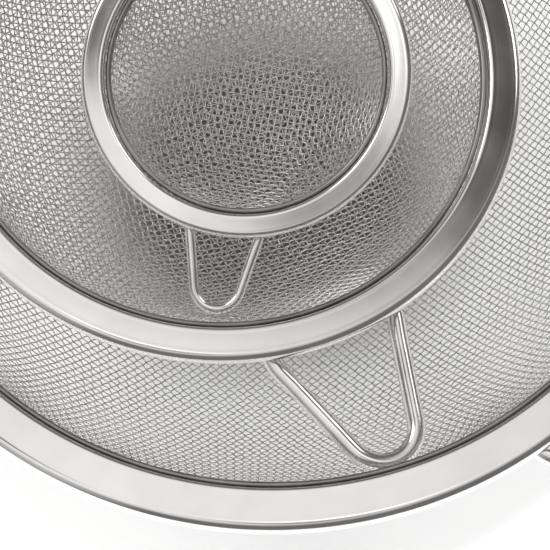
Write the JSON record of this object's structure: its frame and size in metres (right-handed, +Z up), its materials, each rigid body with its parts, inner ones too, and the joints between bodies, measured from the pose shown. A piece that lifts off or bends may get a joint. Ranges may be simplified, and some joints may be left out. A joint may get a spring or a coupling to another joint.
{
  "type": "nested sieve set",
  "caption": "Nested round wire-mesh sieves with wide flanged rims, hairpin rest loops, and slim handles with hanging loops; the inner sieves lift out.",
  "frame": {"origin": "centre of the large bowl's flat underside, on which the nest stands", "axes": "+Z up along the large sieve's axis; X and Y span its rim plane, with the handles towards +Y and -X and the rest loops towards -Y and +X"},
  "size_m": [0.2854, 0.2842, 0.1101],
  "materials": {
    "polished_steel": "polished stainless sheet with soft turning marks",
    "satin_steel": "satin stainless sheet",
    "woven_mesh": "plain-weave stainless wire cloth",
    "drawn_wire": "bright drawn stainless wire"
  },
  "bodies": {
    "large_sieve": {"large_rim_band": "polished_steel", "large_edge_hoop": "drawn_wire", "large_hem_ring": "satin_steel", "large_mesh_bowl": "woven_mesh", "large_rest_loop": "drawn_wire", "large_handle_tang": "satin_steel", "large_handle": "satin_steel", "large_hanging_loop": "drawn_wire"},
    "medium_sieve": {"medium_rim_band": "polished_steel", "medium_edge_hoop": "drawn_wire", "medium_hem_ring": "satin_steel", "medium_mesh_bowl": "woven_mesh", "medium_rest_loop": "drawn_wire", "medium_handle_tang": "satin_steel", "medium_handle": "satin_steel", "medium_hanging_loop": "drawn_wire"},
    "small_sieve": {"small_rim_band": "polished_steel", "small_edge_hoop": "drawn_wire", "small_hem_ring": "satin_steel", "small_mesh_bowl": "woven_mesh", "small_rest_loop": "drawn_wire", "small_handle_tang": "satin_steel", "small_handle": "satin_steel", "small_hanging_loop": "drawn_wire"}
  },
  "joints": [
    {"name": "medium_lift", "type": "slide", "parent": "large_sieve", "child": "medium_sieve", "axis": [0, 0, 1], "range_m": [0, 0.09]},
    {"name": "small_lift", "type": "slide", "parent": "medium_sieve", "child": "small_sieve", "axis": [0, 0, 1], "range_m": [0, 0.08]}
  ]
}
